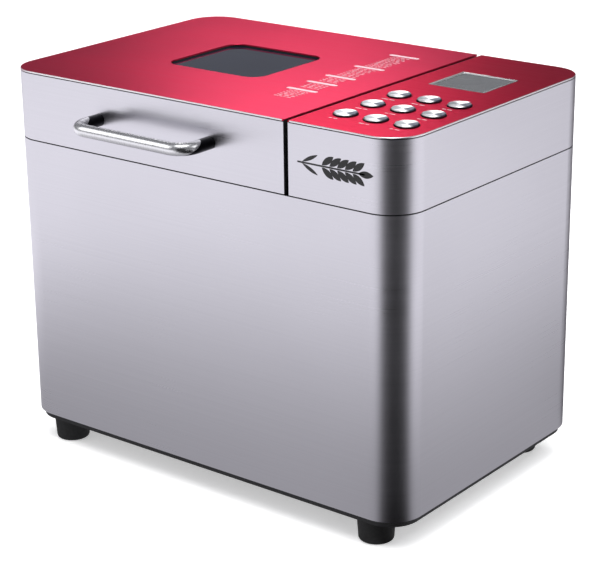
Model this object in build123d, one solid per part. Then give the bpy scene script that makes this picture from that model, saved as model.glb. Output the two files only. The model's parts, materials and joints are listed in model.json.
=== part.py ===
"""Domestic bread machine with a hinged lid, a lift-out pan and a belt-driven kneading paddle.

Row frame in millimetres: +X to the user's right, +Y to the back, +Z up.
The origin is the centre of the whole object's footprint, on the surface that it stands on.
Each sub-part has its own function, and build() gives every sub-part its node name.
"""

import os
from math import acos, cos, degrees, pi, radians, sin

from build123d import *

os.makedirs("parts", exist_ok=True)

# ---------------------------------------------------------------- driving dimensions
WIDTH = 350.0  # steel casing, left to right
DEPTH = 230.0  # steel casing, front to back
CORNER_R = 25.0  # vertical corners of the casing
HANDLE_REACH = 32.0  # how far the lid handle stands out in front
HINGE_REACH = 12.0  # how far the hinge barrels stand out behind
TOP_Z = 289.0  # upper face of the red top plates
SEAM_Z = 237.5  # top edge of the lower casing
FOOT_HEIGHT = 17.2
CASING_Z = 22.0  # bottom edge of the lower casing
SHEET = 0.8  # steel sheet
PLASTIC = 2.2  # moulded walls

# ---------------------------------------------------------------- derived positions
FRONT_Y = HANDLE_REACH - (DEPTH + HANDLE_REACH + HINGE_REACH) / 2
BACK_Y = FRONT_Y + DEPTH
MID_Y = (FRONT_Y + BACK_Y) / 2
RIGHT_X = WIDTH / 2
LEFT_X = -RIGHT_X

SEAM_GAP = 0.9
SKIRT_Z = SEAM_Z + SEAM_GAP  # bottom edge of the lid and control skirts
PLATE_T = 1.0
PLATE_Z = TOP_Z - PLATE_T
SHADOW_GAP = 0.7  # dark line between a top plate and the skirt under it
SKIRT_TOP = PLATE_Z - SHADOW_GAP
FRAME_INSET = SHEET + 0.1
DECK_TOP = SEAM_Z - 0.3
DECK_T = 4.0
DECK_Z = DECK_TOP - DECK_T

LID_RIGHT_X = 81.4
SPLIT_GAP = 3.4
CONTROL_LEFT_X = LID_RIGHT_X + SPLIT_GAP
LID_MID_X = (LEFT_X + LID_RIGHT_X) / 2
CONTROL_MID_X = (CONTROL_LEFT_X + RIGHT_X) / 2

# Window in the lid
WINDOW_X = LID_MID_X
WINDOW_Y = MID_Y + 2.5
WINDOW_W = 86.0
WINDOW_D = 81.0
WINDOW_R = 12.0
PANE_T = 2.4
PANE_TOP = TOP_Z - 2.0

# Handle
HANDLE_LEFT_X = -83.5
HANDLE_RIGHT_X = 18.5
HANDLE_Z = 263.5
HANDLE_R = 4.5
HANDLE_BEND = 13.0

# Control panel
BUTTON_XS = (106.0, 130.3, 154.6)
BUTTON_YS = tuple(MID_Y - 80.4 + 30.4 * row for row in range(3))
BUTTON_R = 8.2
BUTTON_HOLE_R = 8.8
BUTTON_FLANGE_R = 9.7
BUTTON_STEM_R = 3.0
BUTTON_PROUD = 1.5
BUTTON_NAMES = (
    ("menu", "loaf_size", "crust"),
    ("time_down", "time_up", "delay"),
    ("light", "pause", "start_stop"),
)
LCD_X = 126.5
LCD_Y = MID_Y + 40.2
LCD_W = 44.0
LCD_D = 42.4

# Baking chamber and pan
CHAMBER_X = LID_MID_X
CHAMBER_Y = MID_Y
CHAMBER_W = 204.0
CHAMBER_D = 176.0
CHAMBER_R = 28.0
CHAMBER_FLOOR = 62.0
PAN_FLOOR = 86.0
PAN_RIM = 222.0
PAN_TOP_W = 168.0
PAN_TOP_D = 138.0
PAN_BOTTOM_W = 158.0
PAN_BOTTOM_D = 128.0
PAN_R = 24.0
PAN_WALL = 1.6
DOME_W = 200.0
DOME_D = 172.0
DOME_TOP = 275.8

# Drive
SHAFT_R = 4.0
PULLEY_Z = 38.0
PULLEY_T = 12.0
DRIVEN_R = 45.0
MOTOR_PULLEY_R = 9.0
MOTOR_X = 122.0
MOTOR_Y = MID_Y
BELT_T = 2.0
BELT_W = 8.0

# Hinges
HINGE_AXIS_Y = BACK_Y + 7.0
HINGE_AXIS_Z = SKIRT_Z - 0.4
HINGE_XS = (-110.0, 20.0)
BARREL_R = 5.0
PIN_R = 2.0
LEAF_HALF = 18.0
LID_KNUCKLE_HALF = 7.7
BODY_KNUCKLE_FROM = 8.1

# Feet
FOOT_XS = (-144.0, 144.0)
FOOT_YS = (FRONT_Y + 17.0, BACK_Y - 29.0)
FOOT_TOP_R = 13.5
FOOT_BOTTOM_R = 12.3
FOOT_SEAT_Z = 9.0

# Screws
SCREW_R = 1.75
SCREW_HOLE_R = 1.9
SCREW_HEAD_R = 3.5
SCREW_HEAD_T = 2.2


# ---------------------------------------------------------------- shape helpers
def block(x0, x1, y0, y1, z0, z1):
    """Box between two corners."""
    return Pos((x0 + x1) / 2, (y0 + y1) / 2, (z0 + z1) / 2) * Box(x1 - x0, y1 - y0, z1 - z0)


def post(x, y, z0, z1, radius):
    """Upright cylinder."""
    return Pos(x, y, (z0 + z1) / 2) * Cylinder(radius, z1 - z0)


def tube(x, y, z0, z1, outer, inner):
    """Upright ring."""
    return post(x, y, z0, z1, outer) - post(x, y, z0 - 1, z1 + 1, inner)


def slab(x, y, z0, z1, width, depth, radius):
    """Flat block with rounded upright corners."""
    return Pos(x, y, z0) * extrude(RectangleRounded(width, depth, radius), z1 - z0)


def rod_x(x0, x1, y, z, radius):
    """Cylinder lying along X."""
    return Pos((x0 + x1) / 2, y, z) * Rot(0, 90, 0) * Cylinder(radius, x1 - x0)


def rod_y(x, y0, y1, z, radius):
    """Cylinder lying along Y."""
    return Pos(x, (y0 + y1) / 2, z) * Rot(90, 0, 0) * Cylinder(radius, y1 - y0)


def casing(inset, z0, z1):
    """The casing's outline, drawn in by inset and extruded."""
    return slab(0, MID_Y, z0, z1, WIDTH - 2 * inset, DEPTH - 2 * inset, CORNER_R - inset)


def left_part(shape, x_end):
    """What lies left of x_end."""
    return shape & block(LEFT_X - 50, x_end, FRONT_Y - 50, BACK_Y + 50, 0, TOP_Z + 50)


def right_part(shape, x_start):
    """What lies right of x_start."""
    return shape & block(x_start, RIGHT_X + 50, FRONT_Y - 50, BACK_Y + 50, 0, TOP_Z + 50)


def edges_at(shape, z):
    """The edges that lie in the level plane z."""
    return shape.edges().filter_by(lambda e: abs(e.bounding_box().min.Z - z) < 1e-4
                                   and abs(e.bounding_box().max.Z - z) < 1e-4)


# ---------------------------------------------------------------- lower casing
def base_plate():
    """Moulded tray that closes the bottom, with cooling slots and motor pillars."""
    floor_top = FOOT_HEIGHT + 2.6
    wall_top = 34.0
    tray = casing(3.0, FOOT_HEIGHT, wall_top) - casing(3.0 + PLASTIC, floor_top, wall_top + 1)
    for row in range(7):
        y = MID_Y - 36 + 12 * row
        tray -= slab(MOTOR_X, y, FOOT_HEIGHT - 1, floor_top + 1, 56, 4, 1.9)
    for dx in (-30, 30):
        for dy in (-30, 30):
            tray += post(MOTOR_X + dx, MOTOR_Y + dy, floor_top, MOTOR_PLATE_Z, 4.5)
    for x in FOOT_XS:
        for y in FOOT_YS:
            tray += post(x, y, floor_top, 28, 5.0)
            tray -= post(x, y, FOOT_HEIGHT - 1, 28 + 1, SCREW_HOLE_R)
    return tray


def foot(x, y):
    """Tapered rubber foot with a sunk screw seat."""
    body = Pos(x, y, FOOT_HEIGHT / 2) * Cone(FOOT_BOTTOM_R, FOOT_TOP_R, FOOT_HEIGHT)
    body = fillet(edges_at(body, 0.0), 2.0)
    return body - post(x, y, -1, FOOT_SEAT_Z, 4.6) - post(x, y, 8, FOOT_HEIGHT + 1, SCREW_HOLE_R)


def screw(reach):
    """Cross-head screw, head up, with its seat at the origin and its point at -reach."""
    head = fillet(post(0, 0, 0, SCREW_HEAD_T, SCREW_HEAD_R).edges().group_by(Axis.Z)[-1], 0.7)
    for turn in (0, 90):
        head -= Rot(0, 0, turn) * block(-2.0, 2.0, -0.4, 0.4, SCREW_HEAD_T - 0.9, SCREW_HEAD_T + 1)
    return head + post(0, 0, -reach, 0.1, SCREW_R)


def screws(placements, reach):
    """A set of equal screws, one at each placement."""
    return [(place * screw(reach)).solid() for place in placements]


def casing_screws():
    """Screws up through the feet and into the rear panel."""
    feet = [Pos(x, y, FOOT_SEAT_Z) * Rot(180, 0, 0) for x in FOOT_XS for y in FOOT_YS]
    rear = [Pos(x, BACK_Y, z) * Rot(-90, 0, 0) for x, z in rear_screw_places()]
    return Compound(children=screws(feet, 16.0) + screws(rear, 16.0))


REAR_CUT = (-134.0, 134.0, 40.0, 204.0)  # opening in the back of the casing: x0, x1, z0, z1
REAR_LAP = 10.0  # how far the rear panel laps behind the steel


def body_wrap():
    """Steel sheet bent round the four corners, with an inward lip at the bottom."""
    x0, x1, z0, z1 = REAR_CUT
    wall = casing(0, CASING_Z, SEAM_Z) - casing(SHEET, CASING_Z - 1, SEAM_Z + 1)
    lip = casing(SHEET / 2, CASING_Z, CASING_Z + SHEET) - casing(3.0, CASING_Z - 1, CASING_Z + 2)
    wrap = wall + lip - block(x0, x1, BACK_Y - 10, BACK_Y + 1, z0, z1)
    for x, z in rear_screw_places():
        wrap -= rod_y(x, BACK_Y - 10, BACK_Y + 1, z, SCREW_HOLE_R)
    return wrap


GLAND_X = 118.0
GLAND_Z = 52.0
GLAND_R = 6.5
GLAND_BORE = 3.7
PANEL_T = 1.5
PANEL_OUT = BACK_Y - SHEET


def rear_screw_places():
    """Screw centres round the rear panel, as (x, z)."""
    x0, x1, z0, z1 = REAR_CUT
    return [(x, z) for x in (x0 - 5, x1 + 5) for z in (z0 + 12, (z0 + z1) / 2, z1 - 12)]


def rear_panel():
    """Back cover behind the opening in the steel, with two banks of louvre slots."""
    x0, x1, z0, z1 = REAR_CUT
    panel = block(x0 - REAR_LAP, x1 + REAR_LAP, PANEL_OUT - PANEL_T, PANEL_OUT, z0 - 5, z1 + 5)
    for bank_x in (-70.0, 70.0):
        for row in range(9):
            z = 112.0 + 8.5 * row
            slot = extrude(SlotOverall(96, 3.2), 6)
            panel -= Pos(bank_x, PANEL_OUT + 2, z) * Rot(90, 0, 0) * slot
    panel -= rod_y(GLAND_X, PANEL_OUT - 5, PANEL_OUT + 5, GLAND_Z, GLAND_R + 0.1)
    for x, z in rear_screw_places():
        panel -= rod_y(x, PANEL_OUT - 5, PANEL_OUT + 5, z, SCREW_HOLE_R)
    return panel


def cable_gland():
    """Bush in the rear panel that the mains cable would pass through."""
    collar = rod_y(GLAND_X, PANEL_OUT, PANEL_OUT + 5, GLAND_Z, 9.5)
    collar = fillet(collar.edges().group_by(Axis.Y)[-1], 1.5)
    body = collar + rod_y(GLAND_X, PANEL_OUT - 9, PANEL_OUT, GLAND_Z, GLAND_R)
    return body - rod_y(GLAND_X, PANEL_OUT - 12, PANEL_OUT + 8, GLAND_Z, GLAND_BORE)


RIBBON_X = 152.0
RIBBON_Y = MID_Y + 34.0
RIBBON_W = 20.0
RIBBON_T = 0.6


def deck_frame():
    """Moulded deck on top of the casing, with the chamber opening, a cable slot and screw-head dimples."""
    deck = casing(1.0, DECK_Z, DECK_TOP)
    for x, y in liner_screw_places():
        deck -= post(x, y, DECK_TOP - 1.6, DECK_TOP + 1, SCREW_HEAD_R + 2.5)
    deck -= slab(CHAMBER_X, CHAMBER_Y, DECK_Z - 1, DECK_TOP + 1, CHAMBER_W, CHAMBER_D, CHAMBER_R)
    deck -= slab(RIBBON_X, RIBBON_Y, DECK_Z - 1, DECK_TOP + 1, 8, RIBBON_W + 6, 2)
    return deck


# ---------------------------------------------------------------- baking chamber
ELEMENT_Z = 82.0
ELEMENT_R = 3.5
TERMINAL_Y = 20.0
PROBE_X = CHAMBER_X + 40.0
PROBE_Z = 104.0


def chamber():
    """Deep-drawn oven liner with a top flange, hung under the deck."""
    shell_w = CHAMBER_W + 2 * SHEET
    shell_d = CHAMBER_D + 2 * SHEET
    shell = slab(CHAMBER_X, CHAMBER_Y, CHAMBER_FLOOR - SHEET, DECK_Z, shell_w, shell_d, CHAMBER_R + SHEET)
    shell += slab(CHAMBER_X, CHAMBER_Y, DECK_Z - SHEET, DECK_Z, shell_w + 18, shell_d + 18, CHAMBER_R + 9)
    shell -= slab(CHAMBER_X, CHAMBER_Y, CHAMBER_FLOOR, DECK_Z + 1, CHAMBER_W, CHAMBER_D, CHAMBER_R)
    shell -= post(CHAMBER_X, CHAMBER_Y, CHAMBER_FLOOR - 3, CHAMBER_FLOOR + 3, HOUSING_R + 0.3)
    wall_x = CHAMBER_X + CHAMBER_W / 2
    for side in (-1, 1):
        shell -= rod_x(wall_x - 4, wall_x + 4, CHAMBER_Y + side * TERMINAL_Y, ELEMENT_Z, ELEMENT_R + 0.8)
    wall_y = CHAMBER_Y + CHAMBER_D / 2
    return shell - rod_y(PROBE_X, wall_y - 4, wall_y + 4, PROBE_Z, 2.8)


def heating_element():
    """Tubular heater in one loop round the pan, with ceramic bushes outside the liner."""
    half_w = CHAMBER_W / 2 - 10
    half_d = CHAMBER_D / 2 - 10
    end_x = CHAMBER_W / 2 + 22
    flat = [(end_x, TERMINAL_Y), (half_w, TERMINAL_Y), (half_w, half_d), (-half_w, half_d),
            (-half_w, -half_d), (half_w, -half_d), (half_w, -TERMINAL_Y), (end_x, -TERMINAL_Y)]
    corners = [Vector(CHAMBER_X + x, CHAMBER_Y + y, ELEMENT_Z) for x, y in flat]
    route = FilletPolyline(*corners, radius=[9, 22, 22, 22, 22, 9])
    section = Plane(origin=route @ 0, z_dir=route % 0) * Circle(ELEMENT_R)
    solids = [sweep(section, path=route).solid()]
    wall_x = CHAMBER_X + CHAMBER_W / 2 + SHEET
    for side in (-1, 1):
        y = CHAMBER_Y + side * TERMINAL_Y
        bush = rod_x(wall_x, wall_x + 9, y, ELEMENT_Z, 7.0) - rod_x(wall_x - 1, wall_x + 10, y, ELEMENT_Z, 3.6)
        solids.append(bush.solid())
    return Compound(children=solids)


def temperature_probe():
    """Thermistor in a metal sleeve through the back wall of the liner."""
    wall_y = CHAMBER_Y + CHAMBER_D / 2
    sleeve = rod_y(PROBE_X, wall_y - 9, wall_y + 16, PROBE_Z, 2.5)
    return sleeve + rod_y(PROBE_X, wall_y + SHEET + 0.1, wall_y + 3, PROBE_Z, 6.0)


SEAT_TOP = 80.0
SEAT_R = 42.0
PAN_SKIRT_R = 41.0


def pan_seat():
    """Pressed ring on the chamber floor that locates the foot of the pan."""
    x, y = CHAMBER_X, CHAMBER_Y
    ring = tube(x, y, CHAMBER_FLOOR, SEAT_TOP, SEAT_R + 3.0, SEAT_R)
    flange = tube(x, y, CHAMBER_FLOOR, CHAMBER_FLOOR + 1.5, 62, SEAT_R)
    ledge = tube(x, y, 72.0, 75.6, SEAT_R + 1, SEAT_R - 4)
    return ring + flange + ledge


def pan_clips():
    """Two leaf springs that grip the foot of the pan."""
    clips = []
    for side in (-1, 1):
        near = SEAT_R + 3.3
        leaf = block(near, near + 0.7, -6, 6, CHAMBER_FLOOR + 1.5, 84.0)
        hook = block(PAN_SKIRT_R + 0.4, near + 0.7, -6, 6, 83.3, 84.0)
        toe = block(near, near + 11, -6, 6, CHAMBER_FLOOR + 1.5, CHAMBER_FLOOR + 2.2)
        clips.append(Pos(CHAMBER_X, CHAMBER_Y, 0) * Rot(0, 0, 90 - 90 * side) * (leaf + hook + toe))
    return Compound(children=clips)


# ---------------------------------------------------------------- drive
HOUSING_R = 12.0
BUSH_R = 6.0
DOG_Z = 72.6
DOG_PLATE_T = 2.9
WING_Z = DOG_Z + DOG_PLATE_T + 1.0
MOTOR_PLATE_Z = 53.0


def shaft_housing():
    """Die-cast housing that holds the drive shaft upright under the chamber."""
    x, y = CHAMBER_X, CHAMBER_Y
    flange = post(x, y, 57.5, CHAMBER_FLOOR - SHEET, 32)
    body = flange + post(x, y, 51.0, 72.0, HOUSING_R)
    for k in range(6):
        rib = block(8, 28, -1.2, 1.2, 52.0, 58.0)
        body += Pos(x, y, 0) * Rot(0, 0, 60 * k) * rib
    for k in range(4):
        angle = radians(30 + 90 * k)
        body -= post(x + 26 * cos(angle), y + 26 * sin(angle), 50, 63, 2.1)
    return body - post(x, y, 40, 80, BUSH_R + 0.02)


def shaft_bushes():
    """Sintered bushes at both ends of the housing."""
    x, y = CHAMBER_X, CHAMBER_Y
    return Compound(children=[tube(x, y, 51.2, 59.0, BUSH_R, SHAFT_R + 0.04).solid(),
                              tube(x, y, 64.0, 71.8, BUSH_R, SHAFT_R + 0.04).solid()])


def drive_shaft():
    """Steel shaft with a groove and clip ring below the pulley."""
    shaft = post(CHAMBER_X, CHAMBER_Y, 33.0, DOG_Z + 2, SHAFT_R)
    return chamfer(shaft.edges().group_by(Axis.Z)[0], 0.6)


def pulley(x, y, radius, bore, web_holes):
    """Flanged belt pulley with a turned rim, a hub and lightening holes."""
    z0, z1 = PULLEY_Z, PULLEY_Z + PULLEY_T
    body = post(x, y, z0 + 1.5, z1 - 1.5, radius)
    body += post(x, y, z0, z0 + 1.5, radius + 2.5) + post(x, y, z1 - 1.5, z1, radius + 2.5)
    if web_holes:
        body -= tube(x, y, z0 - 1, z0 + 4, radius - 5, 12) + tube(x, y, z1 - 4, z1 + 1, radius - 5, 12)
        for k in range(web_holes):
            angle = 2 * pi * k / web_holes
            body -= post(x + 26 * cos(angle), y + 26 * sin(angle), z0 - 1, z1 + 1, 7)
    return body - post(x, y, z0 - 1, z1 + 1, bore)


def driven_pulley():
    """Large pulley on the drive shaft."""
    return pulley(CHAMBER_X, CHAMBER_Y, DRIVEN_R, SHAFT_R, 6)


def drive_dog():
    """Plate with two upright lugs that turns the wing under the pan."""
    x, y = CHAMBER_X, CHAMBER_Y
    dog = post(x, y, DOG_Z, DOG_Z + DOG_PLATE_T, 19)
    for side in (-1, 1):
        lug = block(10, 16.5, 4.2, 9.5, DOG_Z + DOG_PLATE_T - 0.5, WING_Z + 6)
        dog += Pos(x, y, 0) * Rot(0, 0, 90 - 90 * side) * lug
    return dog - post(x, y, DOG_Z - 1, DOG_Z + 2, SHAFT_R)


def belt_outline(gap):
    """Open-belt outline round both pulleys, gap outside their running faces."""
    far = MOTOR_X - CHAMBER_X
    big, small = DRIVEN_R + gap, MOTOR_PULLEY_R + gap
    lean = degrees(acos((big - small) / far))
    a, b = radians(lean), radians(-lean)
    p1 = (big * cos(a), big * sin(a))
    p2 = (far + small * cos(a), small * sin(a))
    p3 = (far + small * cos(b), small * sin(b))
    p4 = (big * cos(b), big * sin(b))
    runs = [Line(p1, p2), ThreePointArc(p2, (far + small, 0), p3), Line(p3, p4), ThreePointArc(p4, (-big, 0), p1)]
    return make_face(runs)


def drive_belt():
    """Flat ribbed belt from the motor pulley to the driven pulley."""
    z0 = PULLEY_Z + (PULLEY_T - BELT_W) / 2
    ring = extrude(belt_outline(0.05 + BELT_T), BELT_W) - extrude(belt_outline(0.05), BELT_W)
    return Pos(CHAMBER_X, CHAMBER_Y, z0) * ring


MOTOR_Z = 60.0
MOTOR_STACK = 44.0
ROTOR_R = 17.0
MOTOR_SHAFT_R = 3.0


def motor_stator():
    """Laminated stack with two coils and a bore for the rotor."""
    x, y = MOTOR_X, MOTOR_Y
    stack = slab(x, y, MOTOR_Z + 4, MOTOR_Z + 4 + MOTOR_STACK, 66, 66, 6)
    for side in (-1, 1):
        coil = slab(x, y + side * 25, MOTOR_Z, MOTOR_Z + 12 + MOTOR_STACK, 46, 12, 4)
        stack += coil
    return stack - post(x, y, MOTOR_Z - 1, MOTOR_Z + 70, ROTOR_R + 0.6)


def motor_bracket():
    """Plate and top bridge with the motor's plain bearings, carried on four pillars."""
    x, y = MOTOR_X, MOTOR_Y
    bridge_z = MOTOR_Z + MOTOR_STACK + 14
    frame = slab(x, y, MOTOR_PLATE_Z, MOTOR_PLATE_Z + 2.5, 76, 76, 8)
    frame += slab(x, y, bridge_z, bridge_z + 2.5, 76, 22, 6)
    for side in (-1, 1):
        leg_x = x + side * 36
        frame += block(leg_x - 1.5, leg_x + 1.5, y - 9, y + 9, MOTOR_PLATE_Z + 2, bridge_z + 1)
        for other in (-1, 1):
            frame += post(x + side * 28, y + other * 28, MOTOR_PLATE_Z + 2, MOTOR_Z + 4, 4)
    for z in (MOTOR_PLATE_Z - 1.5, bridge_z):
        frame += post(x, y, z, z + 6, 8)
    return frame - post(x, y, 40, 140, MOTOR_SHAFT_R + 0.04)


def motor_shaft():
    """Motor shaft with its rotor."""
    x, y = MOTOR_X, MOTOR_Y
    return post(x, y, 35.0, 126.0, MOTOR_SHAFT_R) + post(x, y, MOTOR_Z + 4, MOTOR_Z + 4 + MOTOR_STACK, ROTOR_R)


def motor_pulley():
    """Small pulley on the motor shaft."""
    return pulley(MOTOR_X, MOTOR_Y, MOTOR_PULLEY_R, MOTOR_SHAFT_R, 0)


# ---------------------------------------------------------------- electronics
POWER_BOARD_X = 164.0
POWER_BOARD_Z = 142.0
POWER_PARTS = (  # centre along Y and Z from the board's lower front corner, width, height, standing depth
    (18, 20, 26, 28, 24),
    (52, 18, 16, 20, 16),
    (80, 20, 18, 24, 12),
    (22, 56, 30, 12, 10),
    (56, 56, 20, 18, 15),
    (84, 56, RIBBON_W + 4, 14, POWER_BOARD_X - RIBBON_X - RIBBON_T / 2),
)


def power_board():
    """Mains board on four spacers, with its transformer, relays, capacitor and connectors."""
    x, y0, z0 = POWER_BOARD_X, MID_Y - 50, POWER_BOARD_Z
    solids = [block(x, x + 1.6, y0, y0 + 100, z0, z0 + 76).solid()]
    for y, z, wide, high, deep in POWER_PARTS:
        part = block(x - deep, x, y0 + y - wide / 2, y0 + y + wide / 2, z0 + z - high / 2, z0 + z + high / 2)
        solids.append(chamfer(part.edges().filter_by(Axis.X), 1.0).solid())
    for y in (5, 95):
        for z in (5, 71):
            solids.append(rod_x(x + 1.6, RIGHT_X - SHEET, y0 + y, z0 + z, 3.5).solid())
    return Compound(children=solids)


def ribbon_cable():
    """Flat cable from the mains board up to the control board."""
    return block(RIBBON_X - RIBBON_T / 2, RIBBON_X + RIBBON_T / 2, RIBBON_Y - RIBBON_W / 2,
                 RIBBON_Y + RIBBON_W / 2, POWER_BOARD_Z + 50, BOARD_Z - 8)


BOARD_Z = 274.0
BOARD_T = 1.6
SWITCH_TOP = 278.2


def board_posts():
    """Centres of the four posts that hold the control board."""
    return [(x, y) for x in (CONTROL_LEFT_X + 12, RIGHT_X - 12) for y in (FRONT_Y + 12, BACK_Y - 12)]


def control_board():
    """Control board with nine tact switches, a buzzer and a connector underneath."""
    top = BOARD_Z + BOARD_T
    board = right_part(casing(FRAME_INSET + PLASTIC + 1.5, BOARD_Z, top), CONTROL_LEFT_X + 6)
    solids = [board.solid()]
    for _, x, y in button_places():
        switch = block(x - 3, x + 3, y - 3, y + 3, top, SWITCH_TOP - 0.8)
        solids.append((switch + post(x, y, SWITCH_TOP - 0.9, SWITCH_TOP, 1.7)).solid())
    solids.append(tube(LCD_X, LCD_Y + 40, top, top + 7.5, 6, 1.2).solid())
    socket = block(RIBBON_X - 4, RIBBON_X + 4, RIBBON_Y - 13, RIBBON_Y + 13, BOARD_Z - 8, BOARD_Z)
    solids.append(socket.solid())
    return Compound(children=solids)


def lcd_module():
    """Display glass in a thin metal frame."""
    z1 = PLATE_Z - PLASTIC
    body = slab(LCD_X, LCD_Y, z1 - 4, z1, LCD_W + 8, LCD_D + 8, 1.5)
    legs = [post(LCD_X + sx * 22, LCD_Y + sy * 20, BOARD_Z + BOARD_T, z1 - 3.5, 1.5) for sx in (-1, 1) for sy in (-1, 1)]
    return body + legs


def lcd_window():
    """Clear cover over the display, just under the face of the red plate."""
    z1 = TOP_Z - 0.5
    z0 = PLATE_Z - PLASTIC
    return slab(LCD_X, LCD_Y, z0, z1, LCD_W - 0.3, LCD_D - 0.3, 0.9)


# ---------------------------------------------------------------- control housing
def button_places():
    """(name, x, y) of every button."""
    return [(BUTTON_NAMES[row][col], x, y)
            for row, y in enumerate(BUTTON_YS) for col, x in enumerate(BUTTON_XS)]


def control_skirt():
    """Steel band round the front, right and back of the control housing."""
    band = casing(0, SKIRT_Z, SKIRT_TOP) - casing(SHEET, SKIRT_Z - 1, SKIRT_TOP + 1)
    return right_part(band, CONTROL_LEFT_X + 0.2)


def control_frame():
    """Moulded housing under the red plate, open below, with button and display holes."""
    outer = right_part(casing(FRAME_INSET, DECK_TOP, PLATE_Z), CONTROL_LEFT_X)
    core = right_part(casing(FRAME_INSET + PLASTIC, DECK_TOP - 1, PLATE_Z - PLASTIC), CONTROL_LEFT_X + PLASTIC)
    frame = outer - core
    for x, y in board_posts():
        frame += post(x, y, BOARD_Z + BOARD_T, PLATE_Z - 1, 3.0)
    for _, x, y in button_places():
        frame -= post(x, y, PLATE_Z - 5, PLATE_Z + 1, BUTTON_HOLE_R)
    return frame - slab(LCD_X, LCD_Y, PLATE_Z - 5, PLATE_Z + 1, LCD_W, LCD_D, 1.0)


def bright_edge(plate):
    """Machines the small bright bevel round a plate's upper edges."""
    return chamfer(edges_at(plate, TOP_Z), 0.4)


def control_top_plate():
    """Red plate, bevelled round its outline, with nine button holes and the display opening."""
    plate = bright_edge(right_part(casing(0, PLATE_Z, TOP_Z), CONTROL_LEFT_X))
    for _, x, y in button_places():
        plate -= post(x, y, PLATE_Z - 1, TOP_Z + 1, BUTTON_HOLE_R)
    return plate - slab(LCD_X, LCD_Y, PLATE_Z - 1, TOP_Z + 1, LCD_W, LCD_D, 1.0)


def button(x, y):
    """Dished cap with a bevelled rim, a retaining flange and a stem."""
    top = TOP_Z + BUTTON_PROUD
    flange_top = PLATE_Z - PLASTIC - 0.2
    cap = post(x, y, flange_top - 0.5, top, BUTTON_R)
    cap = chamfer(cap.edges().group_by(Axis.Z)[-1], 0.6)
    dish_r = 60.0
    cap -= Pos(x, y, top - 0.5 + dish_r) * Sphere(dish_r)
    cap += post(x, y, flange_top - 1.4, flange_top, BUTTON_FLANGE_R)
    return cap + post(x, y, SWITCH_TOP + 1.2, flange_top - 1, BUTTON_STEM_R)


# ---------------------------------------------------------------- lid
def lid_skirt():
    """Steel band round the front, left and back of the lid."""
    band = casing(0, SKIRT_Z, SKIRT_TOP) - casing(SHEET, SKIRT_Z - 1, SKIRT_TOP + 1)
    band = left_part(band, LID_RIGHT_X - 0.2)
    for x in (HANDLE_LEFT_X, HANDLE_RIGHT_X):
        band -= rod_y(x, FRONT_Y - 2, FRONT_Y + 2, HANDLE_Z, SCREW_HOLE_R)
    return band


def lid_frame():
    """Moulded lid body, open below, with the window opening and screw bosses."""
    outer = left_part(casing(FRAME_INSET, SKIRT_Z, PLATE_Z), LID_RIGHT_X)
    core = left_part(casing(FRAME_INSET + PLASTIC, SKIRT_Z - 1, PLATE_Z - PLASTIC), LID_RIGHT_X - PLASTIC)
    frame = outer - core
    frame -= slab(WINDOW_X, WINDOW_Y, PLATE_Z - 5, PLATE_Z + 1, BEZEL_W, BEZEL_D, BEZEL_R)
    for x, y in liner_screw_places():
        frame += post(x, y, LINER_Z + SHEET, PLATE_Z - 1, 4.0)
        frame -= post(x, y, LINER_Z - 1, LINER_Z + 14, SCREW_HOLE_R)
    for x in (HANDLE_LEFT_X, HANDLE_RIGHT_X):
        frame -= rod_y(x, FRONT_Y - 2, FRONT_Y + 6, HANDLE_Z, SCREW_HOLE_R)
    return frame


LINER_Z = SKIRT_Z + 0.6
BEZEL_W = WINDOW_W + 4.0
BEZEL_D = WINDOW_D + 4.0
BEZEL_R = WINDOW_R + 2.0


def liner_screw_places():
    """Screw centres near the corners of the lid's underside."""
    return [(x, y) for x in (LEFT_X + 14, LID_RIGHT_X - 10) for y in (FRONT_Y + 26, BACK_Y - 26)]


def lid_top_plate():
    """Red plate, bevelled round its outline and round the window opening."""
    plate = left_part(casing(0, PLATE_Z, TOP_Z), LID_RIGHT_X)
    plate -= slab(WINDOW_X, WINDOW_Y, PLATE_Z - 1, TOP_Z + 1, WINDOW_W, WINDOW_D, WINDOW_R)
    return bright_edge(plate)


def lid_liner():
    """Pressed heat shield that closes the lid's underside and domes over the pan."""
    inset = FRAME_INSET + PLASTIC + 0.3
    flange = left_part(casing(inset, LINER_Z, LINER_Z + SHEET), LID_RIGHT_X - PLASTIC - 0.3)
    dome = slab(CHAMBER_X, CHAMBER_Y, LINER_Z, DOME_TOP, DOME_W, DOME_D, CHAMBER_R)
    hollow = slab(CHAMBER_X, CHAMBER_Y, LINER_Z - 1, DOME_TOP - SHEET,
                  DOME_W - 2 * SHEET, DOME_D - 2 * SHEET, CHAMBER_R - SHEET)
    liner = flange + dome - hollow
    liner -= slab(WINDOW_X, WINDOW_Y, DOME_TOP - 3, DOME_TOP + 1, WINDOW_W - 7, WINDOW_D - 7, WINDOW_R - 3)
    for row in range(4):
        slot = slab(CHAMBER_X + 66 + 7 * row, CHAMBER_Y, DOME_TOP - 3, DOME_TOP + 1, 3, 46, 1.4)
        liner -= slot
    for x, y in liner_screw_places():
        liner -= post(x, y, LINER_Z - 1, LINER_Z + 2, SCREW_HOLE_R)
    return liner


def lid_screws():
    """Screws through the heat shield and, from inside the lid, into the handle."""
    liner = [Pos(x, y, LINER_Z) * Rot(180, 0, 0) for x, y in liner_screw_places()]
    inner_y = FRONT_Y + FRAME_INSET + PLASTIC
    handle = [Pos(x, inner_y, HANDLE_Z) * Rot(-90, 0, 0) for x in (HANDLE_LEFT_X, HANDLE_RIGHT_X)]
    return Compound(children=screws(liner, 12.0) + screws(handle, 12.0))


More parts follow.
